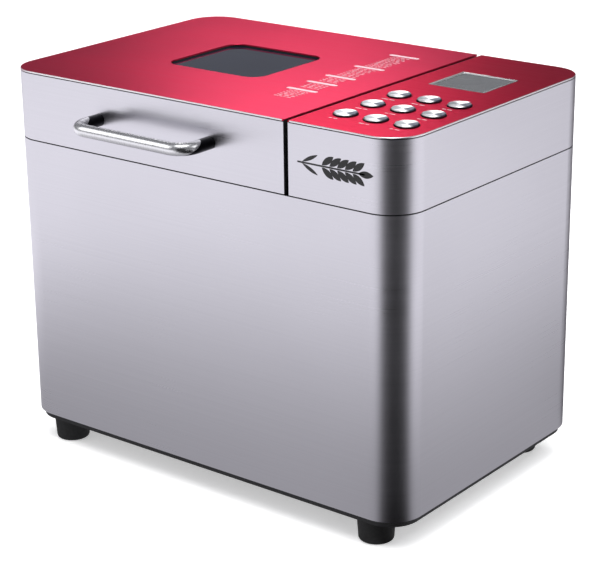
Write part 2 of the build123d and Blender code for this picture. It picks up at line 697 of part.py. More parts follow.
def lid_seal():
    """Silicone cord round the dome that meets the deck."""
    outer = slab(CHAMBER_X, CHAMBER_Y, LINER_Z - 1.4, LINER_Z, CHAMBER_W + 18, CHAMBER_D + 18, CHAMBER_R + 9)
    inner = slab(CHAMBER_X, CHAMBER_Y, LINER_Z - 3, LINER_Z + 1, CHAMBER_W + 10, CHAMBER_D + 10, CHAMBER_R + 5)
    return outer - inner


def window_bezel():
    """Black frame that lines the window well and holds both panes."""
    z0, z1 = DOME_TOP + 0.1, PLATE_Z - 0.2
    ring = slab(WINDOW_X, WINDOW_Y, z0, z1, BEZEL_W - 0.2, BEZEL_D - 0.2, BEZEL_R)
    ring -= slab(WINDOW_X, WINDOW_Y, PANE_TOP - PANE_T, z1 + 1, WINDOW_W, WINDOW_D, WINDOW_R)
    ring -= slab(WINDOW_X, WINDOW_Y, z0 - 1, z0 + PANE_T, WINDOW_W, WINDOW_D, WINDOW_R)
    return ring - slab(WINDOW_X, WINDOW_Y, z0 - 1, z1 + 1, WINDOW_W - 5, WINDOW_D - 5, WINDOW_R - 2)


def window_pane(top):
    """Glass pane of the lid window."""
    return slab(WINDOW_X, WINDOW_Y, top - PANE_T, top, WINDOW_W - 0.4, WINDOW_D - 0.4, WINDOW_R - 0.2)


def lid_handle():
    """Bar handle bent from one rod, with tapped ends."""
    out_y = FRONT_Y - HANDLE_REACH + HANDLE_R
    corners = [Vector(HANDLE_LEFT_X, FRONT_Y, HANDLE_Z), Vector(HANDLE_LEFT_X, out_y, HANDLE_Z),
               Vector(HANDLE_RIGHT_X, out_y, HANDLE_Z), Vector(HANDLE_RIGHT_X, FRONT_Y, HANDLE_Z)]
    route = FilletPolyline(*corners, radius=HANDLE_BEND)
    section = Plane(origin=route @ 0, z_dir=route % 0) * Circle(HANDLE_R)
    bar = sweep(section, path=route)
    for x in (HANDLE_LEFT_X, HANDLE_RIGHT_X):
        bar -= rod_y(x, FRONT_Y - 10, FRONT_Y + 1, HANDLE_Z, SCREW_HOLE_R)
    return bar


# ---------------------------------------------------------------- hinges
def knuckle(x0, x1):
    """One hinge barrel on the hinge axis, bored for the pin."""
    return rod_x(x0, x1, HINGE_AXIS_Y, HINGE_AXIS_Z, BARREL_R)


def pin_hole(x):
    """Clears the pin right through one hinge."""
    return rod_x(x - LEAF_HALF - 5, x + LEAF_HALF + 5, HINGE_AXIS_Y, HINGE_AXIS_Z, PIN_R + 0.04)


def hinge_brackets():
    """Fixed hinge leaves on the back of the casing."""
    leaves = []
    for x in HINGE_XS:
        leaf = block(x - LEAF_HALF, x + LEAF_HALF, BACK_Y, BACK_Y + 2, 211.0, 233.5)
        for a, b in ((-LEAF_HALF, -BODY_KNUCKLE_FROM), (BODY_KNUCKLE_FROM, LEAF_HALF)):
            leaf += knuckle(x + a, x + b)
            leaf += block(x + a, x + b, BACK_Y, HINGE_AXIS_Y, HINGE_AXIS_Z - 9, HINGE_AXIS_Z - 3.5)
        leaves.append((leaf - pin_hole(x)).solid())
    return Compound(children=leaves)


def lid_hinge_leaves():
    """Moving hinge leaves on the back of the lid."""
    leaves = []
    for x in HINGE_XS:
        leaf = block(x - LEAF_HALF, x + LEAF_HALF, BACK_Y, BACK_Y + 2, 244.0, 264.0)
        leaf += knuckle(x - LID_KNUCKLE_HALF, x + LID_KNUCKLE_HALF)
        leaf += block(x - LID_KNUCKLE_HALF, x + LID_KNUCKLE_HALF, BACK_Y, HINGE_AXIS_Y,
                      HINGE_AXIS_Z + 3.5, HINGE_AXIS_Z + 9)
        leaves.append((leaf - pin_hole(x)).solid())
    return Compound(children=leaves)


def hinge_pins():
    """Hinge pins with a small head at each end."""
    pins = []
    for x in HINGE_XS:
        pin = rod_x(x - LEAF_HALF - 0.4, x + LEAF_HALF + 0.4, HINGE_AXIS_Y, HINGE_AXIS_Z, PIN_R)
        heads = [rod_x(x + s * (LEAF_HALF + 0.8) - 0.7, x + s * (LEAF_HALF + 0.8) + 0.7,
                       HINGE_AXIS_Y, HINGE_AXIS_Z, PIN_R + 1.0) for s in (-1, 1)]
        pins.append((pin + heads).solid())
    return Compound(children=pins)


# ---------------------------------------------------------------- bread pan
EAR_X = PAN_TOP_W / 2 + 5.2
BAIL_R = 2.25
BAIL_Z = PAN_RIM + 3.6
BAIL_ARM = 68.0
BAIL_BEND = 24.0
BAIL_HALF = PAN_TOP_W / 2 + 9.6


def pan_body(inset, z0, z1):
    """Tapered tub, drawn in by inset."""
    bottom = Pos(CHAMBER_X, CHAMBER_Y, z0) * RectangleRounded(
        PAN_BOTTOM_W - 2 * inset, PAN_BOTTOM_D - 2 * inset, PAN_R - inset)
    top = Pos(CHAMBER_X, CHAMBER_Y, z1) * RectangleRounded(
        PAN_TOP_W - 2 * inset, PAN_TOP_D - 2 * inset, PAN_R - inset)
    return loft([bottom.face(), top.face()])


def bread_pan():
    """Drawn aluminium pan with a rim, a round foot and a shaft boss."""
    x, y = CHAMBER_X, CHAMBER_Y
    tub = pan_body(0, PAN_FLOOR, PAN_RIM)
    tub += slab(x, y, PAN_RIM - 3, PAN_RIM, PAN_TOP_W + 7, PAN_TOP_D + 7, PAN_R + 3.5)
    tub -= pan_body(PAN_WALL, PAN_FLOOR + 2.2, PAN_RIM + 0.01)
    tub += tube(x, y, 76.0, PAN_FLOOR + 0.5, PAN_SKIRT_R, PAN_SKIRT_R - 3)
    tub += post(x, y, PAN_FLOOR - 3, PAN_FLOOR + 7, 9.0)
    return tub - post(x, y, 70, 100, SHAFT_R + 0.04)


def bail_ears():
    """Riveted ears on the pan's end walls that carry the bail."""
    ears = []
    for side in (-1, 1):
        x = CHAMBER_X + side * EAR_X
        plate = block(x - 0.8, x + 0.8, CHAMBER_Y - 9, CHAMBER_Y + 9, PAN_RIM - 12, BAIL_Z + 5)
        plate = fillet(plate.edges().filter_by(Axis.X), 4.0)
        plate += block(min(x, x - side * 1.7), max(x, x - side * 1.7),
                       CHAMBER_Y - 7, CHAMBER_Y + 7, PAN_RIM - 2.6, PAN_RIM - 0.4)
        ears.append((plate - rod_x(x - 3, x + 3, CHAMBER_Y, BAIL_Z, BAIL_R + 0.05)).solid())
    return Compound(children=ears)


def pan_bail():
    """Wire bail that lies on the front of the pan and lifts it out."""
    x, y = CHAMBER_X, CHAMBER_Y
    corners = [Vector(x - BAIL_HALF + 9, y, BAIL_Z), Vector(x - BAIL_HALF, y, BAIL_Z),
               Vector(x - BAIL_HALF, y - BAIL_ARM, BAIL_Z), Vector(x + BAIL_HALF, y - BAIL_ARM, BAIL_Z),
               Vector(x + BAIL_HALF, y, BAIL_Z), Vector(x + BAIL_HALF - 9, y, BAIL_Z)]
    route = FilletPolyline(*corners, radius=[3, BAIL_BEND, BAIL_BEND, 3])
    section = Plane(origin=route @ 0, z_dir=route % 0) * Circle(BAIL_R)
    return sweep(section, path=route)


def pan_shaft():
    """Pan shaft with a flat for the paddle and a wing that meets the drive dog."""
    x, y = CHAMBER_X, CHAMBER_Y
    shaft = post(x, y, WING_Z, 110.0, SHAFT_R) - block(x + 3.0, x + 6, y - 6, y + 6, 93.5, 111.0)
    wing = block(x - 17, x + 17, y - 3.4, y + 3.4, WING_Z, WING_Z + 5)
    wing = fillet(wing.edges().filter_by(Axis.Z), 3.0)
    return shaft + wing


def kneading_paddle():
    """Cast paddle: a D-bored hub and one swept blade."""
    x, y, z = CHAMBER_X, CHAMBER_Y, 94.0
    hub = Pos(x, y, z + 11) * Cone(11.0, 8.5, 22)
    hub = fillet(hub.edges().group_by(Axis.Z)[-1], 3.0)
    outline = Polyline((4, 0), (45, 0), (47, 8), (34, 25), (20, 27), (4, 20), close=True)
    blade = Plane.XZ * make_face(outline)
    blade = extrude(blade, 2.4, both=True)
    blade = fillet(blade.edges().filter_by(Axis.Y), 1.8)
    paddle = hub + Pos(x, y, z) * blade
    bore = post(x, y, z - 1, z + 17, SHAFT_R + 0.1) - block(x + 3.1, x + 6, y - 6, y + 6, z - 1, z + 18)
    return paddle - bore


# ---------------------------------------------------------------- assembly
def build():
    """Every node by name."""
    nodes = {
        "base_plate": base_plate(),
        "body_wrap": body_wrap(),
        "rear_panel": rear_panel(),
        "casing_screws": casing_screws(),
        "cable_gland": cable_gland(),
        "deck_frame": deck_frame(),
        "chamber": chamber(),
        "heating_element": heating_element(),
        "temperature_probe": temperature_probe(),
        "pan_seat": pan_seat(),
        "pan_clips": pan_clips(),
        "shaft_housing": shaft_housing(),
        "shaft_bushes": shaft_bushes(),
        "drive_shaft": drive_shaft(),
        "driven_pulley": driven_pulley(),
        "drive_dog": drive_dog(),
        "drive_belt": drive_belt(),
        "motor_stator": motor_stator(),
        "motor_bracket": motor_bracket(),
        "motor_shaft": motor_shaft(),
        "motor_pulley": motor_pulley(),
        "power_board": power_board(),
        "ribbon_cable": ribbon_cable(),
        "control_board": control_board(),
        "lcd_module": lcd_module(),
        "lcd_window": lcd_window(),
        "control_skirt": control_skirt(),
        "control_frame": control_frame(),
        "control_top_plate": control_top_plate(),
        "lid_skirt": lid_skirt(),
        "lid_frame": lid_frame(),
        "lid_top_plate": lid_top_plate(),
        "lid_liner": lid_liner(),
        "lid_screws": lid_screws(),
        "lid_seal": lid_seal(),
        "window_bezel": window_bezel(),
        "window_glass": window_pane(PANE_TOP),
        "window_inner_glass": window_pane(DOME_TOP + 0.1 + PANE_T),
        "lid_handle": lid_handle(),
        "hinge_brackets": hinge_brackets(),
        "lid_hinge_leaves": lid_hinge_leaves(),
        "hinge_pins": hinge_pins(),
        "bread_pan": bread_pan(),
        "bail_ears": bail_ears(),
        "pan_bail": pan_bail(),
        "pan_shaft": pan_shaft(),
        "kneading_paddle": kneading_paddle(),
    }
    for x, side in zip(FOOT_XS, ("left", "right")):
        for y, end in zip(FOOT_YS, ("front", "back")):
            nodes[f"foot_{end}_{side}"] = foot(x, y)
    for name, x, y in button_places():
        nodes[f"button_{name}"] = button(x, y)
    return nodes


for node, shape in build().items():
    export_step(shape, f"parts/{node}.step")
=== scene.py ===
"""Looks of the bread machine: materials for every CAD node, printed marks, light, floor and camera."""

import json
import math
import random

import bpy
from mathutils import Matrix, Vector


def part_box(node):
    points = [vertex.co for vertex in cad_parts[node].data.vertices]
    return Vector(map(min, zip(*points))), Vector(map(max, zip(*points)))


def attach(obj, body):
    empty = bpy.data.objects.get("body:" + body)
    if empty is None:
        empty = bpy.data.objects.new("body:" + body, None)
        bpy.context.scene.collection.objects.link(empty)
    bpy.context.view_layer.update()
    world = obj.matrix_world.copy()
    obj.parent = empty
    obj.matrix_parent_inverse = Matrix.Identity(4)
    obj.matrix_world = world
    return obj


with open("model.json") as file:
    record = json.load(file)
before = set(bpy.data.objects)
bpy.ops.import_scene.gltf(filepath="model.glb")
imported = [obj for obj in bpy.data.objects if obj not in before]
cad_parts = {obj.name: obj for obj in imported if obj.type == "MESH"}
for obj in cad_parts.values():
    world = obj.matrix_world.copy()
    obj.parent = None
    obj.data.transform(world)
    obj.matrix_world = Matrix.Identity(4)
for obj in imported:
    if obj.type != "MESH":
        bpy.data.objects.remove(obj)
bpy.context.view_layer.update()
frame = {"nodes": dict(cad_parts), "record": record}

NODES = frame["nodes"]
SLOT_OF = {part["node"]: part["material_slot"] for part in frame["record"]["subparts"]}

TOP_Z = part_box("lid_top_plate")[1].z

# Surfaces, in metres and degrees.
RIM_DROP = 0.00003  # depth below the top face where the red plates' bare rim starts
SEAM_BORDER = 0.0030  # dyed strip beside the seam between the two red plates
WINDOW_BORDER = 0.0020  # dyed strip round the window
POST_DARK_REFLECTION = 0.0185  # length of the painted dark reflection on the ends of the handle's posts
POST_SLANT = 1.6  # how far back the edge of the painted dark reflection leans for each metre of height
PAINTED_FAN_AZIMUTH = 195.0  # direction of the painted dark reflection fan on the turned caps
CAP_SHADE_TOP = 0.0009  # height over the plate up to which a cap's side gets painted shade, for the gap round it
COIL_ABOVE, COIL_BELOW = 0.0079, 0.0039  # how far the coils stand out of the motor's stack

# Print, in metres.
INK = 0.00004  # thickness of printed marks
LIST_LEFT, LIST_RIGHT = -0.0520, -0.0257  # sides of the programme list, from the lid plate's right edge
LIST_HEADS = (  # each heading's distance back from the plate's middle, and its rows of small print
    (-0.0452, 6),
    (-0.0225, 4),
    (-0.0010, 4),
    (0.0333, 9),
    (0.0768, 11),
)
HEAD_HEIGHT = 0.0040
ROW_DROP, ROW_PITCH, ROW_HEIGHT = 0.0050, 0.0034, 0.0009
LABEL_DROP, LABEL_HEIGHT = 0.0132, 0.0011  # a button's label, in front of its centre
EMBLEM_SHIFT = 0.0105  # how far left of the middle of the housing's front the emblem sits
EMBLEM_SCALE = 1.18

# Stage, in metres, radians for the camera and degrees for the rest.
CARD_SIZE, CARD_HEIGHT = 3.0, 0.0008
CARD_NEAR, CARD_FAR, CARD_REACH = 0.46, 1.18, 0.60  # the card's glow by the casing and away from it
CARD_STRETCH = 1.27  # X distances count this much more, so both visible faces fade alike
WEDGE_INSET, WEDGE_GLOW = 0.02, 0.01  # start inside the casing's corner, and the share of glow left
WEDGES = (  # dim wedges: corner of the casing, azimuth, and the slopes where it starts and ends
    (1, -1, 47.0, 0.80, 1.25),
    (1, 1, 186.0, 0.20, 1.00),
    (-1, 1, -125.0, 0.20, 0.60),
)
FLOOR_SIZE, FLOOR_GLOW = 12.0, 0.42
CAMERA_YAW, CAMERA_PITCH, CAMERA_ROLL = 0.66582, 0.34606, -0.01212
CAMERA_PLACE = (0.8285, -1.0508, 0.5821)  # from the centre of the casing's bottom
CAMERA_LENS, CAMERA_SENSOR = 114.48, 36.0  # millimetres


# ---------------------------------------------------------------- shader helpers
class Shader:
    """A Principled material and short calls that add nodes to it."""

    def __init__(self, name, **constants):
        self.material = bpy.data.materials.new(name)
        self.material.use_nodes = True
        self.tree = self.material.node_tree
        self.bsdf = self.tree.nodes["Principled BSDF"]
        self.coords = self.tree.nodes.new("ShaderNodeTexCoord")
        for socket, value in constants.items():
            self.set(socket.replace("_", " "), value)

    def set(self, socket, value):
        """Gives one Principled input a constant."""
        self.bsdf.inputs[socket].default_value = (*value, 1.0) if isinstance(value, tuple) else value

    def node(self, kind, links=None, **settings):
        """A new node with its inputs linked or set."""
        made = self.tree.nodes.new(kind)
        for name, value in settings.items():
            setattr(made, name, value)
        for socket, value in (links or {}).items():
            if isinstance(value, bpy.types.NodeSocket):
                self.tree.links.new(value, made.inputs[socket])
            else:
                made.inputs[socket].default_value = value
        return made

    def feed(self, socket, output):
        """Links an output to a Principled input."""
        self.tree.links.new(output, self.bsdf.inputs[socket])

    def scaled(self, x, y, z):
        """Object coordinates, in metres, multiplied per axis."""
        return self.node("ShaderNodeMapping", {"Vector": self.coords.outputs["Object"],
                                               "Scale": (x, y, z)}).outputs[0]

    def noise(self, vector, scale=1.0, detail=3.0, rough=0.55):
        """Noise from 0 to 1."""
        return self.node("ShaderNodeTexNoise", {"Vector": vector, "Scale": scale, "Detail": detail,
                                                "Roughness": rough}).outputs[0]

    def spread(self, value, low, high):
        """Maps 0.3..0.7 of a noise to low..high."""
        return self.node("ShaderNodeMapRange", {"Value": value, "From Min": 0.3, "From Max": 0.7,
                                                "To Min": low, "To Max": high}).outputs[0]

    def math(self, operation, a, b=0.0):
        """One math node."""
        return self.node("ShaderNodeMath", {0: a, 1: b}, operation=operation).outputs[0]

    def mix(self, share, a, b):
        """Mixes two colours, or a colour and a socket."""
        made = self.node("ShaderNodeMix", data_type="RGBA")
        for socket, value in ((0, share), (6, a), (7, b)):
            if isinstance(value, bpy.types.NodeSocket):
                self.tree.links.new(value, made.inputs[socket])
            else:
                made.inputs[socket].default_value = (*value, 1.0) if isinstance(value, tuple) else value
        return made.outputs[2]

    def bump(self, height, strength, distance):
        """Small relief from a height."""
        made = self.node("ShaderNodeBump", {"Height": height, "Strength": strength, "Distance": distance})
        self.feed("Normal", made.outputs[0])

    def height(self):
        """Object Z, in metres."""
        return self.node("ShaderNodeSeparateXYZ", {0: self.coords.outputs["Object"]}).outputs[2]

    def beyond(self, lo, hi, stretch=1.0):
        """How far outside the upright box lo..hi a point lies, with X distances stretched."""
        middle = ((lo.x + hi.x) / 2, (lo.y + hi.y) / 2, 0.0)
        half = ((hi.x - lo.x) / 2, (hi.y - lo.y) / 2, 0.0)
        centred = self.node("ShaderNodeVectorMath", {0: self.coords.outputs["Object"], 1: middle},
                            operation="SUBTRACT").outputs[0]
        mirrored = self.node("ShaderNodeVectorMath", {0: centred}, operation="ABSOLUTE").outputs[0]
        outside = self.node("ShaderNodeVectorMath", {0: mirrored, 1: half}, operation="SUBTRACT").outputs[0]
        parts = self.node("ShaderNodeSeparateXYZ", {0: outside}).outputs
        return self.math("MAXIMUM", self.math("MULTIPLY", parts[0], stretch), parts[1])


def brushed(name, colour, dark, along, roughness, grain=1.0, aniso=0.0, **constants):
    """Metal brushed along the axes named in along, with a stretched highlight across the lines."""
    s = Shader(name, Metallic=1.0, **constants)
    fine = [6.0 if axis in along else 2200.0 for axis in "xyz"]
    broad = [1.5 if axis in along else 420.0 for axis in "xyz"]
    lines = s.noise(s.scaled(*fine), detail=4.0)
    bands = s.noise(s.scaled(*broad), detail=2.0)
    smudge = s.noise(s.scaled(1, 1, 1), scale=9.0, detail=2.0)
    tone = s.math("ADD", s.math("MULTIPLY", lines, 0.6), s.math("MULTIPLY", bands, 0.4))
    s.feed("Base Color", s.mix(s.spread(tone, 0.0, 1.0), dark, colour))
    rough = s.math("ADD", s.spread(tone, roughness - 0.03 * grain, roughness + 0.03 * grain),
                   s.spread(smudge, -0.015, 0.02))
    s.feed("Roughness", rough)
    s.bump(lines, 0.05 * grain, 0.00004)
    if aniso:
        s.set("Anisotropic", aniso)
        tangent = s.node("ShaderNodeTangent", direction_type="RADIAL", axis="Z")
        s.feed("Tangent", tangent.outputs[0])
    return s


def plastic(name, colour, light, roughness, grain=700.0, depth=0.25):
    """Moulded plastic or rubber with a fine spark texture."""
    s = Shader(name)
    spark = s.noise(s.scaled(1, 1, 1), scale=grain, detail=2.0)
    cloud = s.noise(s.scaled(1, 1, 1), scale=14.0, detail=3.0)
    s.feed("Base Color", s.mix(s.spread(cloud, 0.0, 1.0), colour, light))
    s.feed("Roughness", s.math("ADD", s.spread(spark, roughness - 0.06, roughness + 0.06),
                               s.spread(cloud, -0.03, 0.04)))
    s.bump(spark, depth, 0.0001)
    return s


# ---------------------------------------------------------------- materials
def brushed_steel():
    """Stainless sheet, brushed level all round the casing."""
    return brushed("brushed_steel", (0.70, 0.69, 0.735), (0.655, 0.645, 0.69), "xy", 0.30, aniso=0.8)


def red_anodised():
    """Red anodised aluminium brushed from side to side, bare metal round its rim; the control plate gets a
    darker copy of the red as painted shade.
    """
    s = brushed("red_anodised", (0.58, 0.036, 0.078), (0.52, 0.029, 0.065), "x", 0.34,
                Specular_Tint=(1.0, 0.56, 0.66))
    dyed = s.bsdf.inputs["Base Color"].links[0].from_socket
    x = s.node("ShaderNodeSeparateXYZ", {0: s.coords.outputs["Object"]}).outputs[0]
    seam = (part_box("lid_top_plate")[1].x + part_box("control_top_plate")[0].x) / 2
    # painted shade: the control plate right of the seam takes a darker copy of the same red
    dyed = s.mix(s.math("GREATER_THAN", x, seam), dyed, (0.44, 0.006, 0.024))
    off_seam = s.math("GREATER_THAN", s.math("ABSOLUTE", s.math("SUBTRACT", x, seam)), SEAM_BORDER)
    off_window = s.math("GREATER_THAN", s.beyond(*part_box("window_glass")), WINDOW_BORDER)
    rim = s.math("MULTIPLY", s.math("MULTIPLY", off_seam, off_window),
                 s.math("LESS_THAN", s.height(), TOP_Z - RIM_DROP))
    s.feed("Base Color", s.mix(rim, dyed, (0.86, 0.84, 0.86)))
    return s


def satin_chrome():
    """Bar handle, polished, with a painted dark reflection on the lower side of its posts' ends, along a
    slant.
    """
    s = brushed("satin_chrome", (0.84, 0.84, 0.86), (0.78, 0.78, 0.80), "yz", 0.27, grain=0.5)
    bar = s.bsdf.inputs["Base Color"].links[0].from_socket
    lo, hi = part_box("lid_handle")
    depth = s.node("ShaderNodeSeparateXYZ", {0: s.coords.outputs["Object"]}).outputs[1]
    above = s.math("MULTIPLY", s.math("SUBTRACT", s.height(), (lo.z + hi.z) / 2), POST_SLANT)
    painted_dark_reflection = s.math("GREATER_THAN", s.math("SUBTRACT", depth, above), hi.y - POST_DARK_REFLECTION)
    # painted dark reflection: the lower side of each post near the lid is turned near-black, the top stays
    # bright
    s.feed("Base Color", s.mix(painted_dark_reflection, bar, (0.02, 0.02, 0.024)))
    return s


def button_metal():
    """Turned caps: rings cut by the tool, and painted light and dark reflection fans from the middle; the
    sides carry painted shade.
    """
    s = Shader("button_metal", Metallic=1.0)
    centred = s.node("ShaderNodeVectorMath", {0: s.coords.outputs["Generated"], 1: (-0.5, -0.5, 0.0)},
                     operation="ADD").outputs[0]
    flat = s.node("ShaderNodeVectorMath", {0: centred, 1: (1.0, 1.0, 0.0)}, operation="MULTIPLY").outputs[0]
    radius = s.node("ShaderNodeVectorMath", {0: flat}, operation="LENGTH").outputs[1]
    rings = s.node("ShaderNodeTexNoise", {"W": radius, "Scale": 160.0, "Detail": 3.0},
                   noise_dimensions="1D").outputs[0]
    turn = s.node("ShaderNodeTexGradient", {"Vector": flat}, gradient_type="RADIAL").outputs[1]
    angle = s.math("SUBTRACT", s.math("MULTIPLY", turn, 2 * math.pi), math.radians(PAINTED_FAN_AZIMUTH))
    toward = s.math("COSINE", angle)
    painted_dark_fan = s.node("ShaderNodeMapRange", {"Value": toward, "From Min": 0.50, "From Max": 0.85},
                    interpolation_type="SMOOTHSTEP").outputs[0]
    painted_faint_fan = s.node("ShaderNodeMapRange", {"Value": toward, "From Min": -0.50, "From Max": -0.95,
                                          "To Max": 0.6}, interpolation_type="SMOOTHSTEP").outputs[0]
    # painted reflection: the face runs from near-white to near-black in fans round the middle, standing in
    # for the turned metal's highlight
    face = s.mix(s.math("ADD", painted_dark_fan, painted_faint_fan), (0.97, 0.97, 0.99), (0.030, 0.040, 0.080))
    ringed = s.mix(s.spread(rings, 0.0, 0.18), face, (0.50, 0.50, 0.52))
    side = s.math("MULTIPLY", s.math("LESS_THAN", s.height(), TOP_Z + CAP_SHADE_TOP),
                  s.math("GREATER_THAN", radius, 0.40))
    # painted shade: the cap's side down in the plate's hole is near-black
    s.feed("Base Color", s.mix(side, ringed, (0.06, 0.055, 0.065)))
    s.feed("Roughness", s.spread(rings, 0.38, 0.48))
    s.bump(rings, 0.08, 0.00005)
    return s


def black_plastic():
    """Black moulded plastic."""
    return plastic("black_plastic", (0.006, 0.006, 0.007), (0.012, 0.012, 0.014), 0.50)


def grey_plastic():
    """Grey moulded plastic."""
    return plastic("grey_plastic", (0.22, 0.22, 0.23), (0.28, 0.28, 0.29), 0.5)


def black_rubber():
    """Matt black rubber."""
    return plastic("black_rubber", (0.004, 0.004, 0.004), (0.009, 0.009, 0.0095), 0.70,
                   grain=420.0, depth=0.4)


def silicone():
    """Red-brown heat-proof silicone."""
    return plastic("silicone", (0.30, 0.07, 0.045), (0.38, 0.10, 0.06), 0.55, grain=500.0)


def plated_steel():
    """Zinc-plated pressed sheet with its crystal bloom."""
    s = Shader("plated_steel", Metallic=1.0)
    crystals = s.node("ShaderNodeTexVoronoi", {"Vector": s.scaled(1, 1, 1), "Scale": 110.0}).outputs["Color"]
    cloud = s.noise(s.scaled(1, 1, 1), scale=20.0)
    tint = s.mix(0.10, (0.56, 0.57, 0.58), crystals)
    s.feed("Base Color", s.mix(s.spread(cloud, 0.0, 0.35), tint, (0.42, 0.42, 0.43)))
    s.feed("Roughness", s.spread(cloud, 0.32, 0.46))
    s.bump(s.noise(s.scaled(1, 1, 1), scale=300.0), 0.15, 0.0001)
    return s


def plain_steel():
    """Drawn or turned bright steel."""
    return brushed("plain_steel", (0.62, 0.62, 0.63), (0.50, 0.50, 0.51), "xy", 0.27, grain=0.8)


def non_stick():
    """Dark non-stick coating with fine speckles."""
    s = Shader("non_stick", Metallic=0.35, Coat_Weight=0.25, Coat_Roughness=0.3)
    speck = s.node("ShaderNodeTexVoronoi", {"Vector": s.scaled(1, 1, 1), "Scale": 900.0}).outputs["Distance"]
    mask = s.math("LESS_THAN", speck, 0.16)
    cloud = s.noise(s.scaled(1, 1, 1), scale=16.0)
    base = s.mix(s.spread(cloud, 0.0, 1.0), (0.045, 0.045, 0.048), (0.070, 0.070, 0.074))
    s.feed("Base Color", s.mix(mask, base, (0.17, 0.17, 0.18)))
    s.feed("Roughness", s.spread(cloud, 0.34, 0.48))
    s.bump(s.noise(s.scaled(1, 1, 1), scale=650.0), 0.2, 0.0001)
    return s


def window_glass():
    """Dark tinted toughened glass."""
    s = Shader("window_glass", Transmission_Weight=0.75, IOR=1.5)
    haze = s.noise(s.scaled(1, 1, 1), scale=30.0)
    s.feed("Base Color", s.mix(s.spread(haze, 0.0, 1.0), (0.022, 0.030, 0.070), (0.032, 0.042, 0.088)))
    s.feed("Roughness", s.spread(haze, 0.03, 0.07))
    return s


def lcd_glass():
    """Clear display cover with a faint haze."""
    s = Shader("lcd_glass", Transmission_Weight=0.85, IOR=1.45)
    haze = s.noise(s.scaled(1, 1, 1), scale=60.0)
    s.feed("Base Color", s.mix(s.spread(haze, 0.0, 1.0), (0.60, 0.62, 0.66), (0.68, 0.70, 0.74)))
    s.feed("Roughness", s.spread(haze, 0.10, 0.16))
    return s


def lcd_panel():
    """Unlit liquid crystal, grey with a green cast and its faint electrode grid."""
    s = Shader("lcd_panel")
    grid = s.node("ShaderNodeTexBrick", {"Vector": s.scaled(1, 1, 1), "Scale": 260.0, "Mortar Size": 0.03,
                                         "Color1": (0.15, 0.155, 0.18, 1), "Color2": (0.16, 0.165, 0.19, 1),
                                         "Mortar": (0.13, 0.135, 0.155, 1)}, offset=0.0).outputs[0]
    cloud = s.noise(s.scaled(1, 1, 1), scale=25.0)
    s.feed("Base Color", s.mix(s.spread(cloud, 0.0, 0.3), grid, (0.19, 0.195, 0.21)))
    s.feed("Roughness", s.spread(cloud, 0.25, 0.35))
    return s


def circuit_board():
    """Green solder mask with tracks."""
    s = Shader("circuit_board")
    tracks = s.node("ShaderNodeTexBrick", {"Vector": s.scaled(1, 1, 1), "Scale": 90.0, "Mortar Size": 0.04,
                                           "Color1": (0.010, 0.11, 0.04, 1), "Color2": (0.014, 0.14, 0.05, 1),
                                           "Mortar": (0.03, 0.22, 0.08, 1)}, offset=0.3).outputs[0]
    spots = s.noise(s.scaled(1, 1, 1), scale=180.0)
    s.feed("Base Color", s.mix(s.math("GREATER_THAN", spots, 0.66), tracks, (0.55, 0.55, 0.50)))
    s.feed("Roughness", s.spread(spots, 0.25, 0.45))
    return s


def laminations():
    """Stacked electrical steel, copper-brown where the coils stand out of the stack."""
    s = Shader("laminations", Metallic=0.8)
    sheets = s.node("ShaderNodeTexWave", {"Vector": s.scaled(0, 0, 1), "Scale": 320.0},
                    bands_direction="Z").outputs[0]
    lo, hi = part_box("motor_stator")
    above = s.math("GREATER_THAN", s.height(), hi.z - COIL_ABOVE)
    below = s.math("LESS_THAN", s.height(), lo.z + COIL_BELOW)
    stack = s.mix(sheets, (0.12, 0.11, 0.11), (0.24, 0.23, 0.23))
    s.feed("Base Color", s.mix(s.math("MAXIMUM", above, below), stack, (0.42, 0.16, 0.05)))
    s.feed("Roughness", s.spread(s.noise(s.scaled(1, 1, 1), scale=40.0), 0.35, 0.55))
    s.bump(sheets, 0.3, 0.0002)
    return s


def die_cast():
    """Grainy die-cast metal."""
    s = Shader("die_cast", Metallic=0.9)
    grain = s.noise(s.scaled(1, 1, 1), scale=380.0)
    cloud = s.noise(s.scaled(1, 1, 1), scale=30.0)
    s.feed("Base Color", s.mix(s.spread(cloud, 0.0, 1.0), (0.42, 0.42, 0.43), (0.54, 0.54, 0.55)))
    s.feed("Roughness", s.spread(grain, 0.45, 0.6))
    s.bump(grain, 0.3, 0.0002)
    return s


def bronze():
    """Porous sintered bronze."""
    s = Shader("bronze", Metallic=1.0)
    grain = s.noise(s.scaled(1, 1, 1), scale=900.0)
    s.feed("Base Color", s.mix(s.spread(grain, 0.0, 1.0), (0.36, 0.22, 0.08), (0.52, 0.34, 0.14)))
    s.feed("Roughness", s.spread(grain, 0.35, 0.5))
    s.bump(grain, 0.3, 0.0001)
    return s


def heater_sheath():
    """Heat-tinted heater tube."""
    s = Shader("heater_sheath", Metallic=0.85)
    cloud = s.noise(s.scaled(1, 1, 1), scale=35.0)
    s.feed("Base Color", s.mix(s.spread(cloud, 0.0, 1.0), (0.10, 0.085, 0.085), (0.24, 0.18, 0.15)))
    s.feed("Roughness", s.spread(cloud, 0.38, 0.55))
    s.bump(s.noise(s.scaled(1, 1, 1), scale=500.0), 0.2, 0.0001)
    return s


def ink(name, colour):
    """Screen-printed ink with slightly uneven cover."""
    s = Shader(name)
    cover = s.noise(s.scaled(1, 1, 1), scale=900.0)
    dark = tuple(c * 0.82 for c in colour)
    s.feed("Base Color", s.mix(s.spread(cover, 0.0, 1.0), dark, colour))
    s.feed("Roughness", s.spread(cover, 0.40, 0.55))
    return s


MAKERS = (brushed_steel, red_anodised, satin_chrome, button_metal, black_plastic, grey_plastic, black_rubber,
          silicone, plated_steel, plain_steel, non_stick, window_glass, lcd_glass, lcd_panel, circuit_board,
          laminations, die_cast, bronze, heater_sheath)


